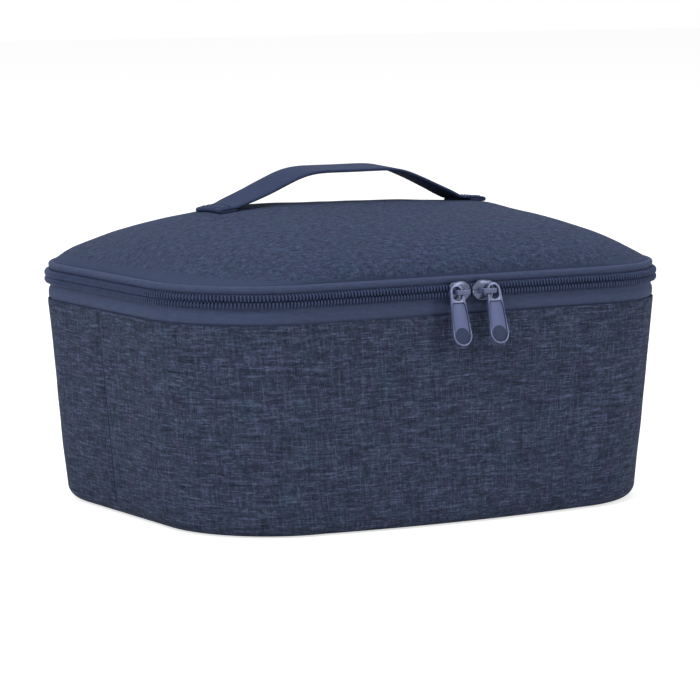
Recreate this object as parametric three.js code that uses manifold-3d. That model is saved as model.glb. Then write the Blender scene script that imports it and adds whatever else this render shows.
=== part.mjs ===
// Soft cooler bag: a tapered body with rounded corners, a domed lid that hinges at the back edge,
// a coil zip round the front and both sides, two sliders with pulls, and a strap handle on the lid.
// Millimetres, +Z up. The front faces -Y, and the origin is on the floor under the middle of the bag.

import * as THREE from 'three';
import { mergeVertices } from 'three/addons/utils/BufferGeometryUtils.js';
import Module from 'manifold-3d';

// Outside of the body
const bagWidth = 280;          // across the rim, left to right
const bagDepth = 200;          // across the rim, front to back
const cornerRadius = 55;       // upright corners, at the rim
const zipHeight = 111.5;       // middle of the zip above the floor, where lid and body part
const hemDrop = 11.2;          // the body panels end this far under the middle of the zip
const sideTaper = 10;          // each side draws in this much from hem to floor
const cornerSpread = 2;        // the corners' radius grows this much down to the floor
const frontBelly = 5;          // the front bulges this much at the floor
const baseRound = 6;           // radius of the bottom edge
const seamSetback = 6;         // the side seams lie this far behind the middle

// Layers, from the outside in
const clearance = 0.3;         // between pieces that touch
const panelThickness = 0.9;
const tapeThickness = 0.8;
const foamThickness = 4;
const linerThickness = 0.5;
const bindingThickness = 0.6;
const bindingWidth = 6.5;      // how far the binding comes down over the liner
const tapeSeam = 7;            // how far the zip tape runs down behind the hem

// Domed lid
const lidEdgeRise = 7.3;       // the lid panel's edge above the middle of the zip
const lidSkirt = 0.8;          // upright part of that edge
const lidInset = 2.6;          // the lid panel's edge in from the rim
const lidNesting = 0.5;        // each deeper layer's edge starts lower by this share of its depth
const lidRise = 28.1;          // crown above the edge
const endPower = 3.23;         // shape of the dome from end to end
const endSoftness = 0.83;
const sidePower = 1.47;        // shape of the dome from front to back
const sideSoftness = 0.447;
const lidBindingWidth = 2.4;

// Coil zip
const zipEndAngle = 60;        // how far the zip runs into the back corners, in degrees
const rowGap = 1.5;            // room between the tooth rows for the sliders' posts
const rowHeight = 2.65;
const coilThickness = 2.3;
const coilValley = 0.7;        // how deep the coil dips between teeth
const toothPitch = 4;
const tapeShort = 0.3;         // the upper tape ends this far under the lid panel's edge
const tapeLean = 0.3;          // the upper tape leans in this much
const pipingReach = 1.4;       // the rolled edge of the upper tape stands out this much
const pipingHeight = 2.2;

// Slider casting
const sliderLength = 12;
const sliderHeight = 9.8;
const sliderShoulder = 1.5;    // the flanges end this far past the middle, towards the nose
const sliderTailRound = 2.6;   // how far the tail's corners are rounded
const plateThickness = 1.2;
const rearPlateThickness = 0.8;
const flangeHeight = 1.0;
const flangeGap = 0.4;         // between a flange and the teeth
const postThickness = 0.9;
const postLength = 2.8;
const bridgeWidth = 2.6;
const bridgeThickness = 1.2;
const bridgeLeg = 1.6;
const bridgeRoom = 3.8;        // between the front plate and the bridge
const bridgeTailLeg = 4.1;     // the legs' middles from the slider's middle
const bridgeNoseLeg = 1.8;
const bridgeRound = 1.6;
const leftSliderX = -1.7;
const sliderGap = 0.8;         // between the two noses

// Pull
const pullLength = 20.8;       // between the middles of its two round ends
const pullTopRadius = 3.7;
const pullEndRadius = 5.2;
const pullThickness = 1.4;
const pullEyeRadius = 2.5;
const pullEyeLength = 1.9;     // straight part of the eye
const pullRim = 0.8;
const pullRecess = 0.4;
const pullDiscRadius = 3.3;
const pullDiscDepth = 0.65;
const pullBar = 0.9;           // solid bar between the eye and the recessed panel
const pullLean = 15;           // the bridge holds the pull's end out by this, in degrees
const pullOut = 2.2;           // middle of the pull's eye in front of the front plate

// Strap handle
const strapWidth = 25;
const strapThickness = 1.5;
const strapSpan = 158;
const strapFoot = 11;          // length of each sewn foot
const strapFold = 1.6;         // the foot's folded end adds this much
const strapLift = 15.8;        // underside of the strap above the lid's crown
const strapFlat = 15;          // half of the level part
const strapShoulder = 38;      // where the slope ends and the shoulder begins
const strapSetback = 8;        // the handle lies this far behind the middle
const strapSink = 0.7;         // the lid's facets lie this far under its true curve at the feet

// Fineness of the faceted surfaces
const cornerSteps = 6;
const frontSteps = 6;
const sideSteps = 4;
const roundSteps = 3;
const domeRings = [0.012, 0.05, 0.14, 0.31, 0.6];

// Insets of the layers from the outside of the body
const tapeOuter = panelThickness + clearance;
const tapeInner = tapeOuter + tapeThickness;
const foamOuter = panelThickness + clearance;
const foamInner = foamOuter + foamThickness;
const linerOuter = foamInner + clearance;
const linerInner = linerOuter + linerThickness;
const bindingOuter = linerInner + clearance;
const bindingInner = bindingOuter + bindingThickness;
const coilBack = tapeOuter - clearance;
const coilFront = coilBack - coilThickness;

// Heights
const hemHeight = zipHeight - hemDrop;
const rimHeight = hemHeight - clearance - bindingThickness;
const foamTop = rimHeight - clearance;
const tapeBottom = hemHeight - tapeSeam;
const bodyTapeTop = zipHeight - rowGap / 2;
const lidTapeBottom = zipHeight + rowGap / 2;
const lidEdge = zipHeight + lidEdgeRise;
const lidTapeTop = lidEdge - tapeShort;
const pipingBottom = lidTapeTop - pipingHeight;
const baseFoamBottom = panelThickness + clearance;
const baseFoamTop = baseFoamBottom + foamThickness;
const wallBottom = baseFoamTop + clearance;

const wasm = await Module();
wasm.setup();

// Plan of the bag at a height: half width, half depth and corner radius
function planAt(z) {
  const drop = Math.max(0, hemHeight - z) / hemHeight;
  return {
    halfX: bagWidth / 2 - sideTaper * drop,
    halfY: bagDepth / 2,
    radius: cornerRadius + cornerSpread * drop,
    belly: frontBelly * drop,
  };
}

// A place on the way round the bag. Turns 0 to 1 are the front, 1 to 2 the right front corner,
// 2 to 3 the right side, and so on counter-clockwise to 8.
const corners = [[1, -1], [1, 1], [-1, 1], [-1, -1]];

function placeAt(turn) {
  const stretch = Math.floor(turn) % 8;
  const share = turn - Math.floor(turn);
  const side = Math.floor(stretch / 2);
  const [endX, endY] = corners[side];
  const [startX, startY] = corners[(side + 3) % 4];
  const straight = stretch % 2 === 0;
  const angle = THREE.MathUtils.degToRad(90 * (side - 1) + (straight ? 0 : 90 * share));
  return {
    x: straight ? THREE.MathUtils.lerp(startX, endX, share) : endX,
    y: straight ? THREE.MathUtils.lerp(startY, endY, share) : endY,
    outX: Math.cos(angle),
    outY: Math.sin(angle),
  };
}

function stepsIn(stretch) {
  if (stretch % 2 === 1) return cornerSteps;
  return stretch % 4 === 0 ? frontSteps : sideSteps;
}

// Turns from start to end, with the stations that every layer shares
function span(start, end) {
  const turns = [start];
  for (let stretch = Math.floor(start); stretch < end; stretch += 1) {
    const steps = stepsIn(stretch % 8);
    for (let step = 0; step < steps; step += 1) {
      const turn = stretch + step / steps;
      if (turn > start && turn < end) turns.push(turn);
    }
  }
  turns.push(end);
  return turns;
}

const wholeLoop = span(0, 8).slice(0, -1);

function outlinePoint(place, inset, z) {
  const plan = planAt(z);
  const belly = plan.belly * Math.max(0, -place.outY) * (1 - place.x ** 2);
  return [
    place.x * (plan.halfX - plan.radius) + place.outX * (plan.radius - inset),
    place.y * (plan.halfY - plan.radius) + place.outY * (plan.radius - inset) - belly,
    z,
  ];
}

// A closed geometry from points and triangles, with its faces pointing out
function closedGeometry(points, faces) {
  let volume = 0;
  const [a, b, c] = [new THREE.Vector3(), new THREE.Vector3(), new THREE.Vector3()];
  for (let i = 0; i < faces.length; i += 3) {
    a.fromArray(points[faces[i]]);
    b.fromArray(points[faces[i + 1]]);
    c.fromArray(points[faces[i + 2]]);
    volume += a.dot(b.cross(c));
  }
  const geometry = new THREE.BufferGeometry();
  geometry.setAttribute('position', new THREE.Float32BufferAttribute(points.flat(), 3));
  geometry.setIndex(volume < 0 ? [...faces].reverse() : faces);
  geometry.computeVertexNormals();
  return geometry;
}

function capTriangles(contour) {
  const flat = contour.map(([u, v]) => new THREE.Vector2(u, v));
  const facing = Math.sign(THREE.ShapeUtils.area(flat));
  return THREE.ShapeUtils.triangulateShape(flat, []).map((triangle) => {
    const turned = Math.sign(THREE.ShapeUtils.area(triangle.map((k) => flat[k])));
    return turned === facing ? triangle : [...triangle].reverse();
  });
}

// Skins a row of sections, each a closed loop of as many points. The row closes on itself,
// or ends in two caps of the contour's shape. Quads split from low to high, as in the loft below.
function skin(sections, contour) {
  const size = sections[0].length;
  const faces = [];
  const joins = contour ? sections.length - 1 : sections.length;
  for (let i = 0; i < joins; i += 1) {
    const here = i * size;
    const next = ((i + 1) % sections.length) * size;
    for (let j = 0; j < size; j += 1) {
      const k = (j + 1) % size;
      const rises = sections[i][k][2] > sections[i][j][2];
      const [low, high] = rises ? [j, k] : [k, j];
      const pair = [here + low, next + low, next + high, here + low, next + high, here + high];
      faces.push(...(rises ? pair : pair.reverse()));
    }
  }
  if (contour) {
    const last = (sections.length - 1) * size;
    for (const [a, b, c] of capTriangles(contour)) {
      faces.push(a, b, c, last + a, last + c, last + b);
    }
  }
  return closedGeometry(sections.flat(), faces);
}

// Sweeps a profile of [inset, height] points along turns of the outline
function sweep(profile, turns = null) {
  const sections = (turns ?? wholeLoop).map((turn) => {
    const place = placeAt(turn);
    return profile.map(([inset, z]) => outlinePoint(place, inset, z));
  });
  return skin(sections, turns ? profile : null);
}

// Skins rings from one centre point out and back to another centre point. Each quad splits from
// its lower ring to its upper one the same way, so that nested layers have matching facets.
function loft(rings, firstCentre, lastCentre) {
  const size = rings[0].length;
  const points = [...rings.flat(), firstCentre, lastCentre];
  const first = points.length - 2;
  const last = points.length - 1;
  const faces = [];
  for (let i = 0; i < size; i += 1) {
    const k = (i + 1) % size;
    const end = (rings.length - 1) * size;
    faces.push(first, k, i, last, end + i, end + k);
    for (let ring = 1; ring < rings.length; ring += 1) {
      const here = (ring - 1) * size;
      const next = ring * size;
      const rises = rings[ring][i][2] > rings[ring - 1][i][2];
      const [low, high] = rises ? [here, next] : [next, here];
      const pair = [low + i, low + k, high + k, low + i, high + k, high + i];
      faces.push(...(rises ? pair : pair.reverse()));
    }
  }
  return closedGeometry(points, faces);
}

function outlineRing(inset, z) {
  return wholeLoop.map((turn) => outlinePoint(placeAt(turn), inset, z));
}

// Base pieces

// Rings of the bottom edge, round about one centre line for every layer
function edgeRings(layer, topHeight) {
  const radius = baseRound - layer;
  const sweepAngle = Math.asin(Math.min(1, (baseRound - topHeight) / radius));
  const rings = [];
  for (let step = 0; step <= roundSteps; step += 1) {
    const angle = Math.PI / 2 + (sweepAngle - Math.PI / 2) * (step / roundSteps);
    rings.push(outlineRing(baseRound - radius * Math.cos(angle), baseRound - radius * Math.sin(angle)));
  }
  return rings;
}

function basePanel() {
  const outside = edgeRings(0, baseRound);
  const inside = edgeRings(panelThickness, baseRound).reverse();
  return loft([...outside, ...inside], [0, 0, 0], [0, 0, panelThickness]);
}

function baseFoam() {
  const edge = edgeRings(baseFoamBottom, baseFoamTop);
  return loft(edge, [0, 0, baseFoamBottom], [0, 0, baseFoamTop]);
}

function baseLiner() {
  const bottom = wallBottom;
  const top = bottom + linerThickness;
  const rings = [outlineRing(linerInner + clearance, bottom), outlineRing(linerInner + clearance, top)];
  return loft(rings, [0, 0, bottom], [0, 0, top]);
}

// Walls

const seamGap = clearance / 2 / (planAt(hemHeight).halfY - cornerRadius) / 2;
const seamShare = seamSetback / (planAt(hemHeight).halfY - cornerRadius) / 2;
const rightSeam = 2.5 + seamShare;
const leftSeam = 6.5 - seamShare;

const panelProfile = [
  [0, baseRound + clearance],
  [0, hemHeight],
  [panelThickness, hemHeight],
  [panelThickness, baseRound + clearance],
];

function wallFoam() {
  const setback = tapeInner + clearance;
  const step = tapeBottom - clearance;
  return sweep([
    [foamOuter, wallBottom],
    [foamOuter, step],
    [setback, step],
    [setback, foamTop],
    [foamInner, foamTop],
    [foamInner, wallBottom],
  ]);
}

function wallLiner() {
  return sweep([
    [linerOuter, wallBottom],
    [linerOuter, foamTop],
    [linerInner, foamTop],
    [linerInner, wallBottom],
  ]);
}

function rimBinding() {
  const outer = tapeInner + clearance;
  const bottom = rimHeight - bindingWidth;
  const under = rimHeight - bindingThickness + clearance;
  return sweep([
    [outer, under],
    [outer, rimHeight + clearance],
    [bindingInner, rimHeight + clearance],
    [bindingInner, bottom],
    [bindingOuter, bottom],
    [bindingOuter, under],
  ]);
}

// Zip tapes, coils and the fabric hinge between their ends

const endShare = zipEndAngle / 90;
const zipStart = 6 - endShare;
const zipEnd = 11 + endShare;
const stripGap = clearance / (cornerRadius - tapeOuter) / (Math.PI / 2);
const zipTurns = span(zipStart, zipEnd);
const hingeTurns = span(zipEnd - 8 + stripGap, zipStart - stripGap);

function bodyTapeProfile(top) {
  return [
    [tapeOuter, tapeBottom],
    [tapeOuter, hemHeight],
    [tapeOuter, top],
    [tapeInner, top],
    [tapeInner, hemHeight],
    [tapeInner, tapeBottom],
  ];
}

function lidTapeProfile(bottom) {
  return [
    [tapeOuter, bottom],
    [tapeOuter, pipingBottom],
    [tapeOuter - pipingReach, pipingBottom + pipingHeight / 2],
    [tapeOuter - pipingReach / 2, lidTapeTop],
    [tapeInner + tapeLean, lidTapeTop],
    [tapeInner, bottom],
  ];
}

function stretchLength(stretch) {
  const plan = planAt(zipHeight);
  if (stretch % 2 === 1) return (cornerRadius - coilBack + coilThickness / 2) * Math.PI / 2;
  return 2 * ((stretch % 4 === 0 ? plan.halfX : plan.halfY) - cornerRadius);
}

// Evenly spaced turns along the zip, two to a tooth
function toothTurns() {
  const parts = [];
  let total = 0;
  for (let from = zipStart; from < zipEnd; from = Math.floor(from) + 1) {
    const to = Math.min(zipEnd, Math.floor(from) + 1);
    const length = stretchLength(Math.floor(from) % 8) * (to - from);
    parts.push({ from, to, length, start: total });
    total += length;
  }
  const steps = 2 * Math.round(total / toothPitch);
  const turns = [];
  for (let i = 0; i <= steps; i += 1) {
    const distance = total * i / steps;
    const part = parts.findLast(({ start }) => start <= distance);
    turns.push(part.from + (part.to - part.from) * (distance - part.start) / part.length);
  }
  return turns;
}

// One row of the coil. Teeth stand out as ribs and their heads face the other row.
function toothRow(side) {
  const head = zipHeight + side * rowGap / 2;
  const heel = head + side * rowHeight;
  const crest = [
    [coilBack, heel],
    [coilFront, heel - side * 0.6],
    [coilFront, head + side * 0.25],
    [coilBack, head],
  ];
  const valley = [
    [coilBack, heel - side * 0.3],
    [coilFront + coilValley, heel - side * 0.8],
    [coilFront + coilValley, head + side * 0.5],
    [coilBack, head + side * 0.2],
  ];
  const sections = toothTurns().map((turn, i) => {
    const place = placeAt(turn);
    const isCrest = i % 2 === (side > 0 ? 1 : 0);
    return (isCrest ? crest : valley).map(([inset, z]) => outlinePoint(place, inset, z));
  });
  return skin(sections, crest);
}

// Lid shells

const lidPlan = {
  halfX: bagWidth / 2 - lidInset,
  halfY: bagDepth / 2 - lidInset,
  radius: cornerRadius - lidInset,
};

// Height of the dome a depth below its outer surface, over a point of the plan
function domeHeight(x, y, depth) {
  const halfX = lidPlan.halfX - depth;
  const halfY = lidPlan.halfY - depth;
  const radius = lidPlan.radius - depth;
  const reach = (half, across, other) => {
    const over = THREE.MathUtils.clamp(Math.abs(across) - (other - radius), 0, radius);
    return half - radius + Math.sqrt(radius ** 2 - over ** 2);
  };
  const shareX = Math.min(1, Math.abs(x) / reach(halfX, y, halfY));
  const shareY = Math.min(1, Math.abs(y) / reach(halfY, x, halfX));
  const endFall = (1 - shareX ** endPower) ** endSoftness;
  const sideFall = (1 - shareY ** sidePower) ** sideSoftness;
  return lidEdge - lidNesting * depth + (lidRise - (1 - lidNesting) * depth) * endFall * sideFall;
}

function lidSurface(depth, bottom) {
  const edge = outlineRing(lidInset + depth, lidEdge - lidNesting * depth);
  const skirt = edge.map(([x, y]) => [x, y, bottom]);
  const rings = domeRings.map((share) => edge.map(([x, y]) => {
    const [inX, inY] = [x * (1 - share), y * (1 - share)];
    return [inX, inY, domeHeight(inX, inY, depth)];
  }));
  return [skirt, edge, ...rings];
}

function lidShell(outerDepth, innerDepth, bottom) {
  const outside = lidSurface(outerDepth, bottom).reverse();
  const inside = lidSurface(innerDepth, bottom);
  return loft([...outside, ...inside], [0, 0, domeHeight(0, 0, outerDepth)], [0, 0, domeHeight(0, 0, innerDepth)]);
}

const lidPanelBottom = lidEdge - lidSkirt;
const lidFoamBottom = lidEdge - lidNesting * linerInner - lidBindingWidth;
const lidLinerInner = lidInset + linerInner;

function lidBinding() {
  const outer = lidInset + foamOuter;
  const top = lidFoamBottom - clearance;
  const bottom = top - bindingThickness;
  const innerEdge = lidLinerInner + clearance;
  return sweep([
    [outer, top],
    [outer, bottom],
    [innerEdge + bindingThickness, bottom],
    [innerEdge + bindingThickness, lidFoamBottom + lidBindingWidth - clearance],
    [innerEdge, lidFoamBottom + lidBindingWidth - clearance],
    [innerEdge, top],
  ]);
}

// Booleans

function solidOf(geometry) {
  const plain = geometry.clone();
  plain.deleteAttribute('normal');
  plain.deleteAttribute('uv');
  const merged = mergeVertices(plain, 1e-4);
  return new wasm.Manifold(new wasm.Mesh({
    numProp: 3,
    vertProperties: new Float32Array(merged.attributes.position.array),
    triVerts: new Uint32Array(merged.index.array),
  }));
}

function geometryOf(solid) {
  const mesh = solid.getMesh();
  const geometry = new THREE.BufferGeometry();
  geometry.setAttribute('position', new THREE.BufferAttribute(new Float32Array(mesh.vertProperties), 3));
  geometry.setIndex([...mesh.triVerts]);
  geometry.computeVertexNormals();
  return geometry;
}

// A shape drawn in the upright front plane, from one distance out to another.
// Out is the distance in front of the plane y = 0.
function slab(shape, fromOut, toOut, curveSegments = 6) {
  const geometry = new THREE.ExtrudeGeometry(shape, {
    depth: toOut - fromOut,
    bevelEnabled: false,
    curveSegments,
  });
  geometry.rotateX(Math.PI / 2);
  geometry.translate(0, -fromOut, 0);
  return solidOf(geometry);
}

// A shape drawn as seen from above, x to the right and out to the front, centred on z = 0
function levelSlab(shape, height, curveSegments = 4) {
  const geometry = new THREE.ExtrudeGeometry(shape, { depth: height, bevelEnabled: false, curveSegments });
  geometry.translate(0, 0, -height / 2);
  geometry.rotateX(Math.PI);
  return solidOf(geometry);
}

function rectangle(x0, x1, z0, z1) {
  return new THREE.Shape([
    new THREE.Vector2(x0, z0),
    new THREE.Vector2(x1, z0),
    new THREE.Vector2(x1, z1),
    new THREE.Vector2(x0, z1),
  ]);
}

// Slider casting, with its nose towards +X and the plane y = 0 on the outside of the bag

const plateBack = -coilFront + clearance;
const plateFront = plateBack + plateThickness;
const rearPlateFront = -(tapeInner + tapeLean + clearance);
const rearPlateBack = rearPlateFront - rearPlateThickness;

function plateOutline() {
  const tail = -sliderLength / 2;
  const nose = sliderLength / 2;
  const high = sliderHeight / 2;
  const tailHigh = high - 0.5;
  const shape = new THREE.Shape();
  shape.moveTo(tail, -tailHigh + sliderTailRound);
  shape.quadraticCurveTo(tail, -tailHigh, tail + sliderTailRound, -tailHigh);
  shape.lineTo(sliderShoulder - 1.5, -high);
  shape.quadraticCurveTo(sliderShoulder + 1.4, -high, nose - 1.6, -high + 1.9);
  shape.quadraticCurveTo(nose, -high + 3.1, nose, 0);
  shape.quadraticCurveTo(nose, high - 3.1, nose - 1.6, high - 1.9);
  shape.quadraticCurveTo(sliderShoulder + 1.4, high, sliderShoulder - 1.5, high);
  shape.lineTo(tail + sliderTailRound, tailHigh);
  shape.quadraticCurveTo(tail, tailHigh, tail, tailHigh - sliderTailRound);
  return shape;
}

function bridgeOutline() {
  const half = bridgeLeg / 2;
  const under = plateFront + bridgeRoom;
  const top = under + bridgeThickness;
  const foot = plateFront - 0.2;
  const shape = new THREE.Shape();
  shape.moveTo(-bridgeTailLeg - half, foot);
  shape.lineTo(-bridgeTailLeg - half, top - bridgeRound);
  shape.quadraticCurveTo(-bridgeTailLeg - half, top, -bridgeTailLeg - half + bridgeRound, top);
  shape.lineTo(bridgeNoseLeg + half - bridgeRound, top);
  shape.quadraticCurveTo(bridgeNoseLeg + half, top, bridgeNoseLeg + half, top - bridgeRound);
  shape.lineTo(bridgeNoseLeg + half, foot);
  shape.lineTo(bridgeNoseLeg - half, foot);
  shape.lineTo(bridgeNoseLeg - half, under);
  shape.lineTo(-bridgeTailLeg + half, under);
  shape.lineTo(-bridgeTailLeg + half, foot);
  return shape;
}

function sliderCasting() {
  const overlap = 0.2;
  const flangeInner = rowGap / 2 + rowHeight + flangeGap;
  const flangeTip = -(tapeOuter - clearance);
  const tail = -sliderLength / 2 + 0.4;
  const nose = sliderLength / 2;
  const plate = plateOutline();
  let solid = slab(plate, plateBack, plateFront);
  solid = solid.add(slab(plate, rearPlateBack, rearPlateFront));
  for (const side of [-1, 1]) {
    const edges = [side * flangeInner, side * (flangeInner + flangeHeight)].sort((p, q) => p - q);
    const flange = rectangle(tail, sliderShoulder, ...edges);
    solid = solid.add(slab(flange, flangeTip, plateBack + overlap).intersect(slab(plate, flangeTip, plateFront)));
  }
  const post = rectangle(nose - 1 - postLength, nose - 1, -postThickness / 2, postThickness / 2);
  solid = solid.add(slab(post, rearPlateFront - overlap, plateBack + overlap));
  return geometryOf(solid.add(levelSlab(bridgeOutline(), bridgeWidth)));
}

// Pull, with its eye's middle at the origin and its length down -Z

function taperedEnds(topRadius, endRadius) {
  const lean = Math.asin((endRadius - topRadius) / pullLength);
  const shape = new THREE.Shape();
  shape.absarc(0, 0, topRadius, lean, Math.PI - lean, false);
  shape.absarc(0, -pullLength, endRadius, Math.PI - lean, 2 * Math.PI + lean, false);
  return shape;
}

function pullBlank() {
  const half = pullThickness / 2;
  const eye = new THREE.Shape();
  eye.absarc(0, 0, pullEyeRadius, 0, Math.PI, false);
  eye.absarc(0, -pullEyeLength, pullEyeRadius, Math.PI, 2 * Math.PI, false);
  const panelTop = -(pullEyeLength + pullEyeRadius + pullBar);
  const below = rectangle(-2 * pullEndRadius, 2 * pullEndRadius, -2 * pullLength, panelTop);
  const panel = taperedEnds(pullTopRadius - pullRim, pullEndRadius - pullRim);
  const disc = new THREE.Shape();
  disc.absarc(0, -pullLength, pullDiscRadius, 0, 2 * Math.PI, false);
  const past = 1;
  let solid = slab(taperedEnds(pullTopRadius, pullEndRadius), -half, half);
  solid = solid.subtract(slab(eye, -half - past, half + past));
  for (const [from, to] of [[half - pullRecess, half + past], [-half - past, -half + pullRecess]]) {
    solid = solid.subtract(slab(panel, from, to).intersect(slab(below, from, to)));
  }
  solid = solid.subtract(slab(disc, half - pullDiscDepth, half + past));
  return geometryOf(solid);
}

// Strap handle, a ribbon with folded feet that follow the dome

function strapHandle() {
  const half = strapSpan / 2;
  const footStart = half - strapFoot;
  const lidUnder = (x) => domeHeight(x, 0, 0) + clearance - strapSink;
  const footTop = (x) => lidUnder(x) + strapThickness + strapFold;
  const level = domeHeight(0, 0, 0) + strapLift + strapThickness / 2;
  const slopeStart = new THREE.Vector2(footStart, footTop(footStart) - strapThickness / 2);
  const shoulderShare = (footStart - strapShoulder) / (footStart - (strapFlat + strapShoulder) / 2);
  const shoulderHeight = THREE.MathUtils.lerp(slopeStart.y, level, shoulderShare);
  const middle = new THREE.Path();
  middle.moveTo(-slopeStart.x, slopeStart.y);
  middle.lineTo(-strapShoulder, shoulderHeight);
  middle.quadraticCurveTo(-(strapFlat + strapShoulder) / 2, level, -strapFlat, level);
  middle.lineTo(strapFlat, level);
  middle.quadraticCurveTo((strapFlat + strapShoulder) / 2, level, strapShoulder, shoulderHeight);
  middle.lineTo(slopeStart.x, slopeStart.y);
  const points = middle.getPoints(5);
  const offset = points.map((point, i) => {
    const ahead = points[Math.min(i + 1, points.length - 1)];
    const behind = points[Math.max(i - 1, 0)];
    const along = new THREE.Vector2().subVectors(ahead, behind).normalize();
    return new THREE.Vector2(-along.y, along.x).multiplyScalar(strapThickness / 2);
  });
  const top = points.map((point, i) => new THREE.Vector2().addVectors(point, offset[i]));
  const under = points.map((point, i) => new THREE.Vector2().subVectors(point, offset[i]));
  const footXs = [0, 0.5, 1].map((share) => half - strapFoot * share);
  const foot = (height) => footXs.map((x) => new THREE.Vector2(x, height(x)));
  const mirrored = (list) => list.map(({ x, y }) => new THREE.Vector2(-x, y));
  const inner = under.slice(1, -1).reverse();
  const outline = [
    ...mirrored(foot(footTop).slice(0, -1)),
    ...top,
    ...foot(footTop).slice(0, -1).reverse(),
    ...foot(lidUnder),
    ...inner,
    ...mirrored(foot(lidUnder)).reverse(),
  ];
  const geometry = new THREE.ExtrudeGeometry(new THREE.Shape(outline), { depth: strapWidth, bevelEnabled: false });
  geometry.rotateX(Math.PI / 2);
  geometry.translate(0, strapSetback + strapWidth / 2, 0);
  return geometry;
}

// Finishes

function finish(color, roughness, metalness = 0) {
  return new THREE.MeshStandardMaterial({ color, roughness, metalness });
}

const melange = finish(0x3c4560, 0.92);
const plainTape = finish(0x333b58, 0.85);
const webbing = finish(0x2f3853, 0.9);
const coilPlastic = finish(0x2b3247, 0.45);
const paintedMetal = finish(0x5f6b93, 0.38, 0.35);
const foam = finish(0xd9dbdd, 0.9);
const foil = finish(0xc6cacf, 0.3, 0.4);

const bag = new THREE.Group();
const lid = new THREE.Group();
bag.add(lid);

function place(parent, name, geometry, material) {
  const mesh = new THREE.Mesh(geometry, material);
  mesh.name = name;
  parent.add(mesh);
  return mesh;
}

place(bag, 'front_panel', sweep(panelProfile, span(leftSeam + seamGap, rightSeam + 8 - seamGap)), melange);
place(bag, 'back_panel', sweep(panelProfile, span(rightSeam + seamGap, leftSeam - seamGap)), melange);
place(bag, 'base_panel', basePanel(), melange);
place(bag, 'wall_foam', wallFoam(), foam);
place(bag, 'base_foam', baseFoam(), foam);
place(bag, 'wall_liner', wallLiner(), foil);
place(bag, 'base_liner', baseLiner(), foil);
place(bag, 'rim_binding', rimBinding(), plainTape);
place(bag, 'lower_zip_tape', sweep(bodyTapeProfile(bodyTapeTop), zipTurns), plainTape);
place(bag, 'lower_zip_coil', toothRow(-1), coilPlastic);
place(bag, 'hinge_strip_lower', sweep(bodyTapeProfile(zipHeight - clearance / 2), hingeTurns), plainTape);

place(lid, 'lid_panel', lidShell(0, panelThickness, lidPanelBottom), melange);
place(lid, 'lid_foam', lidShell(foamOuter, foamInner, lidFoamBottom), foam);
place(lid, 'lid_liner', lidShell(linerOuter, linerInner, lidFoamBottom), foil);
place(lid, 'lid_binding', lidBinding(), plainTape);
place(lid, 'upper_zip_tape', sweep(lidTapeProfile(lidTapeBottom), zipTurns), plainTape);
place(lid, 'upper_zip_coil', toothRow(1), coilPlastic);
place(lid, 'hinge_strip_upper', sweep(lidTapeProfile(zipHeight + clearance / 2), hingeTurns), plainTape);
place(lid, 'handle_strap', strapHandle(), webbing);

const casting = sliderCasting();
const blank = pullBlank();
const sliders = [
  { side: 'left', x: leftSliderX, nose: 1 },
  { side: 'right', x: leftSliderX + sliderLength + sliderGap, nose: -1 },
];
for (const { side, x, nose } of sliders) {
  const slider = place(bag, `slider_${side}`, casting, paintedMetal);
  slider.position.set(x, -bagDepth / 2, zipHeight);
  slider.rotation.y = nose > 0 ? 0 : Math.PI;
  const pull = place(bag, `pull_${side}`, blank, paintedMetal);
  pull.position.set(x - nose * bridgeTailLeg, -(bagDepth / 2 + plateFront + pullOut), zipHeight);
  pull.rotation.x = -THREE.MathUtils.degToRad(pullLean);
}

export default bag;
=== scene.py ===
"""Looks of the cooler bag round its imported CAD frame. Lengths are in millimetres until a mesh is made."""

import math

import bmesh
import bpy
import numpy as np
from mathutils import Matrix, Vector


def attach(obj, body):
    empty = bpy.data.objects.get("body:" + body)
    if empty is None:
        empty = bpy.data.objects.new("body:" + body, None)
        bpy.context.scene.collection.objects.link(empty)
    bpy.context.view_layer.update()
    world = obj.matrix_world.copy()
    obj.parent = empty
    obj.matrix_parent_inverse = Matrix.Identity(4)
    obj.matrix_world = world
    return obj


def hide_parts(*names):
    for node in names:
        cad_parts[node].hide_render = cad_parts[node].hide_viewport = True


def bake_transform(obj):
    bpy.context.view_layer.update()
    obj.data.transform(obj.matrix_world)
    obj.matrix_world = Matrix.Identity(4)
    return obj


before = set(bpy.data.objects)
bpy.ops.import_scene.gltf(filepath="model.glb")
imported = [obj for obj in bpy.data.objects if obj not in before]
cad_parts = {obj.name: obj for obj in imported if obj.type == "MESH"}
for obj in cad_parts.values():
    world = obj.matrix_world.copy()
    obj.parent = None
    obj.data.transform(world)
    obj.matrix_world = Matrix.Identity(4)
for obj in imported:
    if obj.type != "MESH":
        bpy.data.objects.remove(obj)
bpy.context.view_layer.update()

MM = 0.001

# Outside of the body
HALF_X, HALF_Y, CORNER = 140.0, 100.0, 55.0
ZIP, HEM = 111.5, 100.3
SIDE_TAPER, CORNER_SPREAD, BELLY = 10.0, 2.0, 5.0
BASE_ROUND = 6.0
SEAM_Y = 6.0
TAPE_BOTTOM = HEM - 7.0
FOAM_TOP = HEM - 1.2
FLOOR_TOP = 5.5

# Layers of wall and lid, as depths under the outside
PANEL_BACK = 0.9
TAPE_FACE, TAPE_BACK = 1.2, 2.0
FOAM_BACK = 5.2
FILM_FACE, FILM_BACK = 5.5, 6.0

# Lid
LID_EDGE, LID_RISE, LID_INSET, NESTING = 118.8, 28.1, 2.6, 0.5
END_POWER, END_SOFT, SIDE_POWER, SIDE_SOFT, CROWN_SOFT = 3.23, 0.83, 1.47, 0.447, 0.1

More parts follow.
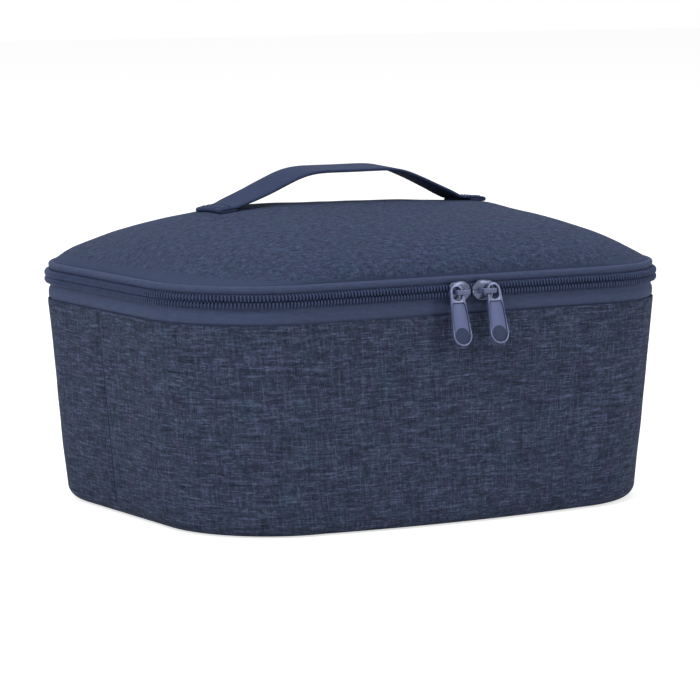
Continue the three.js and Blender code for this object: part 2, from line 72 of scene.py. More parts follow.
# Zip
TOOTH_PITCH = 1.75
ZIP_START, ZIP_END = 6 - 60 / 90, 11 + 60 / 90     # turns, 60 degrees into the back corners

# Strap
STRAP_Y, STRAP_WIDTH, STRAP_THICK, FOOT_THICK = 8.0, 25.0, 1.45, 1.2
FOOT_START, FOOT_END = 66.0, 76.3


# Plan of the bag

def slope(way, over):
    """0 to 1 on the way over a distance."""
    return np.clip(way / over, 0, 1)


def plan_at(z):
    """Half width, half depth, corner radius and belly at a height."""
    drop = np.clip((HEM - z) / HEM, 0, None)
    return HALF_X - SIDE_TAPER * drop, np.full_like(drop, HALF_Y), CORNER + CORNER_SPREAD * drop, BELLY * drop


STRETCH = np.array([170, 86.4, 90, 86.4] * 2)       # straight and corner lengths, from the front on
STARTS = np.concatenate([[0], np.cumsum(STRETCH)])
LOOP = STARTS[-1]


def place_at(turn):
    """Corner signs and outward direction of places on the way round, 0 to 1 being the front."""
    turn = np.mod(turn, 8)
    stretch = np.floor(turn).astype(int)
    share = turn - stretch
    side = stretch // 2
    signs = np.array([[1, -1], [1, 1], [-1, 1], [-1, -1]], float)
    end, start = signs[side], signs[(side + 3) % 4]
    straight = (stretch % 2 == 0)[:, None]
    corner = np.where(straight, start + (end - start) * share[:, None], end)
    angle = np.radians(90 * (side - 1) + np.where(stretch % 2 == 0, 0, 90 * share))
    return corner[:, 0], corner[:, 1], np.cos(angle), np.sin(angle)


def along(turn):
    """Distance round the rim from the front's left end to a turn."""
    whole = np.floor(turn / 8)
    turn = turn - 8 * whole
    return whole * LOOP + np.interp(turn, np.arange(9), STARTS)


def turn_at(distance):
    """Turn at a distance, the other way round than along()."""
    whole = np.floor(distance / LOOP)
    return 8 * whole + np.interp(distance - whole * LOOP, STARTS, np.arange(9))


def spaced(start, end, step):
    """Turns from start to end about a step apart, both ends included."""
    a, b = along(np.array([start, end], float))
    return turn_at(np.linspace(a, b, max(2, int(round((b - a) / step)) + 1)))


def outline(turns, inset, z):
    """Points for each turn (rows) and each inset and height (columns)."""
    kx, ky, ox, oy = [v[:, None] for v in place_at(turns)]
    z = np.broadcast_to(z, (len(turns), np.shape(z)[-1]))
    half_x, half_y, radius, belly = plan_at(z)
    bow = belly * np.clip(-oy, 0, None) * (1 - kx ** 2)
    x = kx * (half_x - radius) + ox * (radius - inset)
    y = ky * (half_y - radius) + oy * (radius - inset) - bow
    return np.stack([x, y, z], axis=-1)


# Meshes

def ripple(seed, waves, low, high):
    """A smooth random height over a plane, about -1 to 1, from waves between two wavelengths."""
    own = np.random.default_rng(seed)
    length = own.uniform(low, high, waves)
    heading = own.uniform(0, 2 * math.pi, waves)
    phase = own.uniform(0, 2 * math.pi, waves)

    def height(u, v):
        total = 0
        for size, turn, start in zip(length, heading, phase):
            total = total + np.sin((u * math.cos(turn) + v * math.sin(turn)) * 2 * math.pi / size + start)
        return total / math.sqrt(waves)
    return height


def add_object(name, data):
    """An object of the scene."""
    obj = bpy.data.objects.new(name, data)
    bpy.context.scene.collection.objects.link(obj)
    return obj


def smoothed(name, mesh, sharp):
    """An object of a mesh that is smooth but for its edges sharper than an angle in degrees."""
    mesh.shade_smooth()
    mesh.set_sharp_from_angle(angle=math.radians(sharp))
    return add_object(name, mesh)


def make_mesh(name, points, faces, corner_uv=None, sharp=35):
    """An object from points in millimetres. corner_uv holds one pair of millimetres per face corner."""
    mesh = bpy.data.meshes.new(name)
    mesh.from_pydata((np.asarray(points, float).reshape(-1, 3) * MM).tolist(), [], faces)
    if corner_uv is not None:
        layer = mesh.uv_layers.new(name="cloth")
        layer.data.foreach_set("uv", np.asarray(corner_uv, np.float32).ravel())
    mesh.validate(clean_customdata=False)
    mesh.update()
    return smoothed(name, mesh, sharp)


def grid_faces(rings, sides, rows, columns, base=0, flip=False):
    """Quads between rings of points, which are numbered from base on. The grid closes where it has
    as many rows of quads as rings, or as many columns as sides."""
    faces = []
    for i in range(rows):
        a, b = base + i * sides, base + (i + 1) % rings * sides
        for j in range(columns):
            k = (j + 1) % sides
            faces.append((a + j, a + k, b + k, b + j) if flip else (a + j, b + j, b + k, a + k))
    return faces


def grid(points, u, v):
    """Quads and corner coordinates of a grid, which closes where u or v holds one value more."""
    rows, columns = len(u) - 1, len(v) - 1
    corners = []
    for i in range(rows):
        for j in range(columns):
            corners += [(u[i], v[j]), (u[i + 1], v[j]), (u[i + 1], v[j + 1]), (u[i], v[j + 1])]
    return grid_faces(*points.shape[:2], rows, columns), corners


def at_corners(faces, uv):
    """Coordinates of all face corners from those of the points."""
    return [tuple(uv[point]) for face in faces for point in face]


def drawn_in(ring, shares):
    """Copies of a flat ring, nearer to the middle."""
    return [ring * np.array([s, s, 1]) for s in shares]


def run_along(line):
    """Distance of each point of a line from its start."""
    return np.concatenate([[0], np.cumsum(np.linalg.norm(np.diff(line, axis=0), axis=1))])


def normals_of(line):
    """Directions across a line, to its left."""
    tangent = np.gradient(line, axis=0)
    tangent /= np.linalg.norm(tangent, axis=1)[:, None]
    return np.column_stack([-tangent[:, 1], tangent[:, 0]])


def end_faces(base, rows, sides):
    """Both ends of a tube whose points are numbered from base on."""
    last = base + (rows - 1) * sides
    return [tuple(range(base + sides - 1, base - 1, -1)), tuple(range(last, last + sides))]


def close_ends(faces, corners, u, v, m):
    """Adds the two end faces of a grid whose rings hold m points, u and v being its coordinates."""
    faces += end_faces(0, len(u), m)
    corners += [(u[0], v[j]) for j in range(m - 1, -1, -1)] + [(u[-1], v[j]) for j in range(m)]


def tube_faces(base, rows, sides):
    """Faces of a closed tube."""
    return grid_faces(rows, sides, rows - 1, sides, base, True) + end_faces(base, rows, sides)


def sweep(name, turns, profile, closed=False, swell=None):
    """Sweeps a closed profile of (inset, height) round the bag. swell(u, z) pushes its outside out."""
    profile = np.asarray(profile, float)
    if closed:
        turns = turns[:-1]
    u = along(turns)
    inset = np.broadcast_to(profile[:, 0], (len(turns), len(profile)))
    if swell is not None:
        outer = np.clip(1 - (profile[:, 0] - profile[:, 0].min()) / 0.6, 0, 1)
        inset = inset - swell(u[:, None], profile[None, :, 1]) * outer
    points = outline(turns, inset, profile[:, 1])
    v = run_along(np.vstack([profile, profile[:1]])) + profile[0, 1]
    u_all = np.append(u, u[0] + LOOP) if closed else u
    faces, corners = grid(points, u_all, v)
    if not closed:
        close_ends(faces, corners, u, v, len(profile))
    return make_mesh(name, points, faces, corners)


def box(x0, x1, y0, y1):
    """Corners of a rectangle."""
    return [(x0, y0), (x1, y0), (x1, y1), (x0, y1)]


def on_circle(cx, cz, radius, angles):
    """Points on a circle, angles in radians."""
    return [(cx + radius * math.cos(a), cz + radius * math.sin(a)) for a in angles]


def arc(cx, cz, radius, start, end, steps):
    """Profile points on a circle, angles in degrees, 0 towards larger inset and 90 up."""
    return on_circle(cx, cz, radius, np.radians(np.linspace(start, end, steps)))


def reach(half, across, other, radius):
    """Half width of a rounded rectangle at a distance across from its middle line."""
    past = np.clip(np.abs(across) - (other - radius), 0, radius)
    return half - radius + np.sqrt(radius ** 2 - past ** 2)


SOFT_SHARE = CROWN_SOFT / math.hypot(1, CROWN_SOFT)
CREST = (1 - SOFT_SHARE ** SIDE_POWER) ** SIDE_SOFT


def dome(x, y, depth=0.0):
    """Height of the lid, a depth below its outer surface."""
    hx, hy, r = HALF_X - LID_INSET - depth, HALF_Y - LID_INSET - depth, CORNER - LID_INSET - depth
    u = np.minimum(1, np.abs(x) / reach(hx, y, hy, r))
    w = np.minimum(1, np.abs(y) / reach(hy, x, hx, r))
    w = np.sqrt((w ** 2 + CROWN_SOFT ** 2) / (1 + CROWN_SOFT ** 2))
    fall = (1 - u ** END_POWER) ** END_SOFT * (1 - np.minimum(1, w) ** SIDE_POWER) ** SIDE_SOFT / CREST
    return LID_EDGE - NESTING * depth + (LID_RISE - (1 - NESTING) * depth) * fall


def lid_surface(turns, shares, depth, bottom, relief=None):
    """Rings of the lid, from the edge of its skirt to the middle."""
    edge = outline(turns, LID_INSET + depth, np.array([LID_EDGE]))[:, 0, :2]
    rings = [np.column_stack([edge, np.full(len(edge), z)]) for z in (bottom, LID_EDGE - NESTING * depth)]
    for share in shares:
        flat = edge * (1 - share)
        z = dome(flat[:, 0], flat[:, 1], depth)
        if relief is not None:
            z = z + relief(flat[:, 0], flat[:, 1], share)
        rings.append(np.column_stack([flat, z]))
    return np.stack(rings, axis=1)


# Lengths over the dome's two middle lines
LINE = np.linspace(0, HALF_X, 281)
CROWN_X = run_along(np.column_stack([LINE, dome(LINE, 0 * LINE)]))
CROWN_Y = run_along(np.column_stack([LINE, dome(0 * LINE, LINE)]))


def cloth_coordinates(points):
    """Distances from the middle, measured over the dome."""
    x, y = points[..., 0], points[..., 1]
    u = np.sign(x) * np.interp(np.abs(x), LINE, CROWN_X)
    v = np.sign(y) * np.interp(np.abs(y), LINE, CROWN_Y)
    drop = np.clip(LID_EDGE - points[..., 2], 0, None)
    return np.stack([u, v + np.sign(y) * drop], axis=-1)


def lid_shell(name, outer, inner, bottom, shares, step=2.2, relief=None):
    """A layer of the lid between two depths, with its skirt down to bottom."""
    turns = spaced(0, 8, step)[:-1]
    outside = lid_surface(turns, shares, outer, bottom, relief)[:, ::-1]
    points = np.concatenate([outside, lid_surface(turns, shares, inner, bottom)], axis=1)
    n, m = points.shape[:2]
    top, under = n * m, n * m + 1       # the two points in the middle
    faces = grid_faces(n, m, n, m - 1, flip=True)
    for i in range(n):
        k = (i + 1) % n
        faces += [(top, i * m, k * m), (under, k * m + m - 1, i * m + m - 1)]
    uv = np.vstack([cloth_coordinates(points).reshape(-1, 2), np.zeros((2, 2))])
    flat = np.vstack([points.reshape(-1, 3), points[:, 0].mean(axis=0), points[:, -1].mean(axis=0)])
    return make_mesh(name, flat, faces, at_corners(faces, uv), 50)


# Materials

def linear(*rgb):
    """A linear colour from screen values of 0 to 255."""
    scaled = [c / 255 for c in rgb]
    return [c / 12.92 if c <= 0.04045 else ((c + 0.055) / 1.055) ** 2.4 for c in scaled] + [1.0]


def shade(colour, factor):
    """A linear colour made darker or lighter."""
    return [min(1.0, c * factor) for c in colour[:3]] + [1.0]


class Graph:
    """A material and short calls that add its nodes."""

    def __init__(self, name, **shader):
        self.material = bpy.data.materials.new(name)
        self.material.use_nodes = True
        self.tree = self.material.node_tree
        self.shader = self.tree.nodes["Principled BSDF"]
        for key, value in shader.items():
            self.shader.inputs[key.replace("_", " ")].default_value = value

    def add(self, kind, inputs=(), **settings):
        node = self.tree.nodes.new("ShaderNode" + kind)
        for key, value in settings.items():
            setattr(node, key, value)
        for key, value in dict(inputs).items():
            self.feed(node.inputs[key], value)
        return node

    def feed(self, socket, value):
        if isinstance(value, bpy.types.NodeSocket):
            self.tree.links.new(value, socket)
        else:
            socket.default_value = value

    def math(self, operation, *values):
        return self.add("Math", enumerate(values), operation=operation).outputs[0]

    def times(self, a, b):
        return self.math("MULTIPLY", a, b)

    def plus(self, a, b):
        return self.math("ADD", a, b)

    def per(self, a, b):
        return self.math("DIVIDE", a, b)

    def vector(self, x, y, z):
        return self.add("CombineXYZ", {"X": x, "Y": y, "Z": z}).outputs[0]

    def noise(self, vector, scale, detail, rough):
        inputs = {"Vector": vector, "Scale": scale, "Detail": detail, "Roughness": rough}
        return self.add("TexNoise", inputs).outputs["Fac"]

    def ramp(self, factor, stops):
        node = self.add("ValToRGB", {"Fac": factor})
        elements = node.color_ramp.elements
        while len(elements) < len(stops):
            elements.new(0.5)
        for element, (position, colour) in zip(elements, stops):
            element.position = position
            element.color = colour if hasattr(colour, "__len__") else (colour, colour, colour, 1)
        return node.outputs["Color"]

    def scale(self, factor, low, high):
        """Brings the middle part of a noise from low to high."""
        return self.ramp(factor, [(0.3, low), (0.7, high)])

    def toned(self, colour, factor, low, high):
        return self.mix(1.0, colour, self.scale(factor, low, high), "MULTIPLY")

    def map_range(self, value, start, end, low, high):
        """low to high, where a place in the scene goes from start to end in millimetres."""
        inputs = {"Value": value, "From Min": start * MM, "From Max": end * MM}
        inputs.update({"To Min": low, "To Max": high})
        return self.add("MapRange", inputs).outputs["Result"]

    def place(self):
        return self.add("TexCoord").outputs["Object"]

    def mix(self, factor, a, b, blend="MIX"):
        node = self.add("Mix", data_type="RGBA", blend_type=blend)
        self.feed(node.inputs[0], factor)
        self.feed(node.inputs[6], a)
        self.feed(node.inputs[7], b)
        return node.outputs[2]

    def cloth_uv(self):
        split = self.add("SeparateXYZ", {"Vector": self.add("UVMap", uv_map="cloth").outputs[0]})
        return split.outputs[0], split.outputs[1]

    def bump(self, height, distance, strength):
        inputs = {"Height": height, "Distance": distance * MM, "Strength": strength}
        return self.add("Bump", inputs).outputs[0]

    def finish(self, colour, normal, roughness):
        for key, value in (("Base Color", colour), ("Normal", normal), ("Roughness", roughness)):
            self.feed(self.shader.inputs[key], value)
        return self.material


def heather(name, base, across, upright, slub, dash, seed, plain=None):
    """Melange cloth: every thread changes shade along its own length. across and upright weigh
    how much the level and the upright threads stand out, slub how much whole bands of them do,
    and dash is the length of the changes. plain is the colour of the smooth edge of the lid, wider
    towards its left end."""
    g = Graph(name, Specular_IOR_Level=0.1)
    u, v = g.cloth_uv()
    pitch = 0.6         # of the threads
    row = g.math("FLOOR", g.per(v, pitch))
    column = g.math("FLOOR", g.per(u, pitch))

    def threads(run, index, shift):
        slow = g.vector(g.per(run, dash), g.times(index, 5.37), shift)
        quick = g.vector(g.per(run, dash * 0.2), g.times(index, 3.71), shift + 9)
        return g.plus(g.times(g.noise(slow, 1, 2, 0.6), 0.62), g.times(g.noise(quick, 1, 1, 0.5), 0.38))

    def shades(thread, weight):
        """Dark, plain and light places of a thread."""
        stops = [(0.28, shade(base, 0.28)), (0.5, shade(base, 0.86)), (0.72, shade(base, 2.9))]
        return g.ramp(g.plus(g.times(g.math("SUBTRACT", thread, 0.5), weight), 0.5), stops)

    weft = threads(u, row, seed)
    warp = threads(v, column, seed + 40)
    # The upright thread counts 0.58 at one crossing and 0.15 at the next
    over = g.math("LESS_THAN", g.math("FLOORED_MODULO", g.plus(row, column), 2.0), 0.5)
    colour = g.mix(g.math("MULTIPLY_ADD", over, 0.43, 0.15), shades(weft, across), shades(warp, upright))
    patches = g.noise(g.vector(u, v, seed), 0.09, 2, 0.6)
    tint = g.ramp(patches, [(0.36, (0.95, 1.03, 1.0, 1)), (0.5, 1), (0.64, (1.05, 0.97, 1.03, 1))])
    colour = g.mix(1.0, colour, tint, "MULTIPLY")
    bands = g.noise(g.vector(g.per(u, dash), g.times(v, 0.5), seed + 3), 1, 3, 0.65)
    colour = g.toned(colour, bands, 1 - slub, 1 + slub)
    if plain is not None:
        place = g.add("SeparateXYZ", {"Vector": g.place()}).outputs
        width = g.map_range(place["X"], -80, -130, 0.2 * MM, 2.8 * MM)
        fade = g.map_range(g.math("SUBTRACT", place["Z"], width), LID_EDGE, LID_EDGE + 1.6, 0, 1)
        colour = g.mix(fade, plain, colour)

    def hump(position):
        return g.math("ABSOLUTE", g.math("SINE", g.times(position, math.pi / pitch)))

    height = g.add("Mix", {0: over, 2: hump(v), 3: hump(u)}, data_type="FLOAT").outputs[0]
    height = g.plus(g.times(height, 0.6), g.times(weft, 0.8))
    normal = g.bump(height, 0.16, 0.7)
    return g.finish(colour, normal, g.scale(weft, 0.94, 0.82))


def woven(name, rgb, pitch=0.45, ribs=0.0, contrast=0.12):
    """Plain tape or webbing: fine slanting threads, with upright ribs where ribs is their pitch."""
    g = Graph(name, Specular_IOR_Level=0.12)
    u, v = g.cloth_uv()
    slant = g.math("SINE", g.times(g.plus(u, g.times(v, 0.8)), 2 * math.pi / pitch))
    grain = g.noise(g.vector(u, v, 2.0), 1.4, 3, 0.6)
    height = g.plus(g.times(slant, 0.25), grain)
    if ribs:
        height = g.plus(height, g.times(g.math("SINE", g.times(v, 2 * math.pi / ribs)), 0.35))
    shade_noise = g.noise(g.vector(g.times(u, 0.3), v, 6.0), 0.8, 3, 0.6)
    colour = g.toned(linear(*rgb), shade_noise, 1 - contrast, 1 + contrast)
    return g.finish(colour, g.bump(height, 0.12, 0.6), g.scale(grain, 0.85, 0.7))


def painted(name, rgb, rough, metallic, coat):
    """Paint on cast metal, with orange peel and a little wear."""
    g = Graph(name, Metallic=metallic, Coat_Weight=coat, Coat_Roughness=0.2, Specular_IOR_Level=0.4)
    place = g.place()
    orange_peel = g.noise(place, 900, 2, 0.5)
    wear = g.noise(place, 160, 4, 0.65)
    colour = g.toned(linear(*rgb), wear, 0.9, 1.08)
    return g.finish(colour, g.bump(orange_peel, 0.02, 0.4), g.scale(wear, rough - 0.07, rough + 0.1))


def nylon(name, rgb):
    """Wire of the coil."""
    g = Graph(name, Specular_IOR_Level=0.14)
    place = g.place()
    grain = g.noise(place, 1500, 2, 0.5)
    colour = g.toned(linear(*rgb), g.noise(place, 220, 3, 0.6), 0.85, 1.15)
    return g.finish(colour, g.bump(grain, 0.02, 0.4), g.scale(grain, 0.3, 0.42))


def foil(name):
    """Crumpled silvery film."""
    g = Graph(name, Metallic=0.55)
    place = g.place()
    sway = g.add("TexNoise", {"Vector": place, "Scale": 18.0}).outputs["Color"]
    bent = g.add("VectorMath", {0: place, 1: sway}, operation="ADD").outputs[0]
    folds = g.add("TexVoronoi", {"Vector": bent, "Scale": 30.0}, feature="SMOOTH_F1").outputs["Distance"]
    fine = g.noise(place, 240, 4, 0.6)
    height = g.plus(folds, g.times(fine, 0.07))
    colour = g.toned(linear(176, 180, 187), fine, 0.9, 1.0)
    return g.finish(colour, g.bump(height, 1.2, 0.5), g.scale(fine, 0.33, 0.5))


def foam(name):
    """Pale closed-cell foam."""
    g = Graph(name, Specular_IOR_Level=0.2)
    place = g.place()
    cells = g.add("TexVoronoi", {"Vector": place, "Scale": 900.0}).outputs["Distance"]
    colour = g.toned(linear(214, 216, 219), g.noise(place, 60, 3, 0.6), 0.93, 1.0)
    return g.finish(colour, g.bump(cells, 0.2, 0.6), g.ramp(cells, [(0.0, 0.95), (0.6, 0.8)]))


lid_cloth = heather("lid_heather", linear(61, 71, 97), 0.6, 0.62, 0.32, 3.6, 11.0, linear(62, 72, 99))
body_cloth = heather("body_heather", linear(59, 67, 88), 1.1, 1.3, 0.3, 12.0, 57.0)
tape_cloth = woven("tape_weave", (68, 78, 107))
binding_cloth = woven("binding_weave", (50, 57, 80), 0.6)
web_cloth = woven("webbing_weave", (50, 61, 91), 0.8, 1.6, 0.1)
coil_nylon = nylon("coil_nylon", (60, 72, 104))
slider_paint = painted("slider_paint", (84, 93, 120), 0.3, 0.5, 0.35)
pull_paint = painted("pull_paint", (85, 95, 130), 0.34, 0.3, 0.25)
panel_paint = painted("panel_paint", (82, 95, 140), 0.5, 0.0, 0.05)
disc_paint = painted("disc_paint", (42, 54, 84), 0.7, 0.0, 0.0)
film = foil("liner_film")
pad = foam("insulation_foam")
thread = woven("thread", (52, 59, 84), 0.3)


def dress(obj, material, body, slot, *nodes):
    """Gives a piece its material and body, and hides the CAD nodes that it replaces. slot is not used."""
    obj.data.materials.append(material)
    if body is not None:
        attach(obj, body)
    if nodes:
        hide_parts(*nodes)
    return obj


# Body

soft_low = ripple(3, 9, 45, 120)
soft_mid = ripple(4, 12, 14, 34)
pucker = ripple(5, 6, 5.5, 11)


def wall_swell(u, z):
    """Soft unevenness of the walls: slow waves in the middle, and small puckers under the hem."""
    middle = slope(z - 6, 30) * slope(HEM - z, 22)
    near_hem = np.exp(-np.clip(HEM - z, 0, None) / 5.0) * slope(HEM - z, 1.5)
    low = 0.45 + 0.4 * soft_low(u, z)
    return middle * np.clip(low + 0.1 * soft_mid(u, z), 0, None) + 0.14 * near_hem * (1 + pucker(u, 0 * z))


wall_bottom, fold = BASE_ROUND + 0.12, PANEL_BACK / 2
wall_rows = np.linspace(wall_bottom, HEM - 0.5, 58)
wall_profile = [(0.0, z) for z in wall_rows] + arc(fold, HEM - fold, fold, 180, 0, 7)[1:]
wall_profile += [(PANEL_BACK, z) for z in (80, 50, 25, wall_bottom)]
seam = SEAM_Y / (HALF_Y - CORNER) / 2
right_seam, left_seam = 2.5 + seam, 6.5 - seam
SIDE_LENGTH = 90
gap = 0.32 / SIDE_LENGTH


def seam_pull(u, z):
    """Swell of the walls, with a dip 0.6 deep at the side seams, where the cloth turns in."""
    ends = along(np.array([right_seam, left_seam]))
    wrapped = np.mod(u[..., None] - ends + LOOP / 2, LOOP) - LOOP / 2
    near = np.exp(-(np.abs(wrapped).min(axis=-1) / 1.5) ** 2)
    return wall_swell(u, z) * (1 - near) - 0.6 * near * np.ones_like(z)


front_turns = spaced(left_seam + gap, right_seam + 8 - gap, 1.6)
back_turns = spaced(right_seam + gap, left_seam - gap, 1.6)
front = sweep("shell_front", front_turns, wall_profile, swell=seam_pull)
back = sweep("shell_back", back_turns, wall_profile, swell=seam_pull)
dress(front, body_cloth, "bag_body", "heather_fabric", "front_panel")
dress(back, body_cloth, "bag_body", "heather_fabric", "back_panel")
# The turned-in cloth that shows in the gap between the two panels, given the darker binding cloth as painted
# shade in the seam
allowance_painted_shade = [(0.93, 6.3), (0.93, HEM - 1), (1.13, HEM - 1), (1.13, 6.3)]
half_strip = 2.5 / SIDE_LENGTH
for side, middle in (("right", right_seam), ("left", left_seam)):
    strip = sweep("seam_" + side, spaced(middle - half_strip, middle + half_strip, 1.0), allowance_painted_shade)
    dress(strip, binding_cloth, "bag_body", "binding")


def base_shell():
    """The floor's cloth with its rounded edge."""
    turns = spaced(0, 8, 2.0)[:-1]

    def edge(radius, steps):
        a = np.radians(np.linspace(0, 90, steps))
        return outline(turns, BASE_ROUND - radius * np.cos(a), BASE_ROUND - radius * np.sin(a))

    inner_steps = 7
    outside, inside = edge(BASE_ROUND, 14), edge(BASE_ROUND - PANEL_BACK, inner_steps)
    floor = drawn_in(outside[:, -1:], (0.75, 0.4, 0.03))
    top = drawn_in(inside[:, -1:], (0.4, 0.03))
    points = np.concatenate([top[1], top[0], inside[:, ::-1], outside] + floor, axis=1)
    n, m = points.shape[:2]
    ring = along(turns)
    run = run_along(points[0])
    at_edge = run[len(top) + inner_steps]
    faces, corners = grid(points, np.append(ring, LOOP), at_edge + BASE_ROUND - run)
    faces += [tuple(range(m - 1, n * m, m)), tuple(range(0, n * m, m))[::-1]]
    corners += list(np.vstack([points[:, -1], points[::-1, 0]])[:, :2])
    return make_mesh("shell_base", points, faces, corners, 50)


dress(base_shell(), body_cloth, "bag_body", "heather_fabric", "base_panel")

inner_wall = ripple(8, 10, 18, 60)
# Over the step the foam makes room for the tape
foam_step, foam_recess = TAPE_BOTTOM - 0.3, 2.3
foam_profile = [(TAPE_FACE, FLOOR_TOP), (TAPE_FACE, foam_step - 0.3), (foam_recess, foam_step)]
foam_profile += [(foam_recess, FOAM_TOP), (FOAM_BACK, FOAM_TOP), (FOAM_BACK, FLOOR_TOP)]
foam_walls = sweep("foam_walls", spaced(0, 8, 6), foam_profile, True)
dress(foam_walls, pad, "bag_body", "foam", "wall_foam")

film_bottom = 6.2
film_rows = np.linspace(film_bottom, FOAM_TOP, 40)
film_profile = [(FILM_BACK, z) for z in film_rows] + [(FILM_FACE, z) for z in (FOAM_TOP, 50, film_bottom)]


def film_walls():
    """Film of the walls, creased towards the inside."""
    turns = spaced(0, 8, 2.4)
    obj = sweep("film_walls", turns, film_profile, True)
    mesh = obj.data
    co = np.array([vertex.co for vertex in mesh.vertices]).reshape(-1, len(film_profile), 3)
    ox, oy = place_at(turns[:-1])[2:]
    crease = 0.45 * (1 + inner_wall(along(turns[:-1])[:, None], film_rows[None, :]))
    fade = slope(FOAM_TOP - film_rows, 12) * slope(film_rows - 8, 8)
    push = np.clip(crease, 0, 1.3) * fade * MM
    inner_face = slice(len(film_rows))
    co[:, inner_face, 0] -= ox[:, None] * push
    co[:, inner_face, 1] -= oy[:, None] * push
    mesh.vertices.foreach_set("co", co.ravel())
    mesh.update()
    return obj


dress(film_walls(), film, "bag_body", "liner", "wall_liner")


def plate(name, inset, bottom, top):
    """A flat layer of the floor with the bag's plan."""
    turns = spaced(0, 8, 4)[:-1]
    insets = np.array([inset, inset, inset + 0.001, inset + 0.001])
    rows = outline(turns, insets, np.array([bottom, top, top, bottom], float))
    low, high = rows[:, 0], rows[:, 1]
    points = np.stack([low, high] + drawn_in(high, (0.8, 0.5, 0.05)) + drawn_in(low, (0.05, 0.6)), axis=1)
    n, m = points.shape[:2]
    top_end, under_start = 4, 5
    faces = grid_faces(n, m, n, m)
    faces = [face for number, face in enumerate(faces) if number % m != top_end]
    faces += [tuple(range(top_end, n * m, m)), tuple(range(under_start, n * m, m))[::-1]]
    return make_mesh(name, points, faces, at_corners(faces, points.reshape(-1, 3)[:, :2]), 40)


foam_base = plate("foam_base", BASE_ROUND, 1.3, 5.1)
dress(foam_base, pad, "bag_body", "foam", "base_foam")
dress(plate("film_base", 6.3, FLOOR_TOP, 6.0), film, "bag_body", "liner", "base_liner")

rim_low, rim_top, rim_round, rim_back = HEM - 7.3, HEM - 0.85, 0.3, 6.9
rim_profile = [(foam_recess, rim_top)] + arc(2.6, rim_top, rim_round, 180, 90, 4)
rim_profile += arc(6.6, rim_top, rim_round, 90, 0, 4) + [(rim_back, rim_low + 3), (rim_back, rim_low)]
rim_profile += [(6.3, rim_low), (6.3, rim_top - 0.2)]
rim = sweep("binding_rim", spaced(0, 8, 3), rim_profile, True)
dress(rim, binding_cloth, "bag_body", "binding", "rim_binding")


# Lid

lid_low = ripple(21, 8, 60, 150)
lid_mid = ripple(22, 12, 16, 40)


def mound(x, y, height, centre, widths):
    """A soft round rise."""
    return height * np.exp(-((x - centre[0]) / widths[0]) ** 2 - ((y - centre[1]) / widths[1]) ** 2)


def foot_lift(x, y):
    """The strap holds the lid up round its two feet."""
    left = mound(x, y, 1.5, (-52, 24), (27, 36)) + mound(x, y, 1.15, (-76, 6), (12, 24))
    return left + mound(x, y, 1.3, (74, -2), (13, 20))


def lid_relief(x, y, share):
    """Soft unevenness of the lid, quiet at its seam and at its edge, where small puckers start."""
    inner = min(1.0, share / 0.2)
    distance = share * 110      # millimetres from the edge, about
    wrinkle = 0.16 * math.exp(-distance / 6) * (1 + pucker(x - y, 0 * x))
    rear_corner = min(1.0, share / 0.04) * mound(x, y, 1.1, (-122, 73), (11, 11))
    return inner * (0.2 * lid_low(x, y) + 0.09 * lid_mid(x, y) + foot_lift(x, y)) + wrinkle + rear_corner


def lid_top(x, y):
    """Height of the lid's cloth at one point of its middle part."""
    x, y = np.array([x], float), np.array([y], float)
    return float((dome(x, y) + lid_relief(x, y, 0.5))[0])


# Rings of the lid's layers, as shares of the way from the edge to the middle
lid_shares = np.concatenate([[0.003, 0.008, 0.015, 0.024, 0.035, 0.05, 0.07], np.linspace(0.09, 0.97, 45)])
few_shares = [0.012, 0.05, 0.14, 0.3, 0.5, 0.75, 0.95]
lid_skin = lid_shell("shell_lid", 0.0, PANEL_BACK, LID_EDGE - 0.8, lid_shares, relief=lid_relief)
dress(lid_skin, lid_cloth, "lid", "heather_fabric", "lid_panel")
LID_BOTTOM = LID_EDGE - NESTING * FILM_BACK - 2.4
foam_lid = lid_shell("foam_lid", 1.4, FOAM_BACK, LID_BOTTOM, few_shares, 5)
dress(foam_lid, pad, "lid", "foam", "lid_foam").data.materials.append(binding_cloth)
# Binding cloth covers the outer side of the foam's skirt, which shows in the open lid
for face in foam_lid.data.polygons:
    if abs(face.normal.z) < 0.5 and face.center.z < LID_EDGE * MM:
        outward = face.normal.x * face.center.x + face.normal.y * face.center.y
        face.material_index = int(outward > 0)
film_shares = np.concatenate([[0.012, 0.03, 0.06], np.linspace(0.1, 0.97, 40)])
film_lid = lid_shell("film_lid", FILM_FACE, FILM_BACK, LID_BOTTOM, film_shares, 3)
dress(film_lid, film, "lid", "liner", "lid_liner")
low = LID_BOTTOM - 0.3
lid_binding = [(3.8, 0), (3.8, -0.4), (4.0, -0.6), (9.3, -0.6), (9.5, -0.4), (9.5, 2.2)]
lid_binding += [(8.9, 2.2), (8.9, 0)]
lid_binding = [(inset, low + rise) for inset, rise in lid_binding]
binding_lid = sweep("binding_lid", spaced(0, 8, 3), lid_binding, True)
dress(binding_lid, binding_cloth, "lid", "binding", "lid_binding")


# Zip

zip_turns = spaced(ZIP_START, ZIP_END, 2.0)
tape_rows = [HEM + rise for rise in (-1, 0.2, 0.7, 1.4, 2.5, 3.8, 4.9, 5.7, 6.3)]
lower_tape = [(TAPE_FACE, z) for z in [TAPE_BOTTOM] + tape_rows + [ZIP - 3, ZIP - 0.3]]
lower_tape += [(1.35, ZIP - 0.12), (1.85, ZIP - 0.12), (TAPE_BACK, ZIP - 0.4), (TAPE_BACK, TAPE_BOTTOM)]


def tape_swell(u, z):
    """The lower tape puffs out between hem and zip, less so over the front's left half."""
    rows = slope(z - HEM - 0.2, 1.6) * slope(HEM + 6.0 - z, 2.2)
    place = np.mod(u + LOOP / 2, LOOP) - LOOP / 2
    quiet = np.exp(-((place - 28) / 52) ** 4)
    return rows * (2 - rows) * (0.85 - 0.65 * quiet)


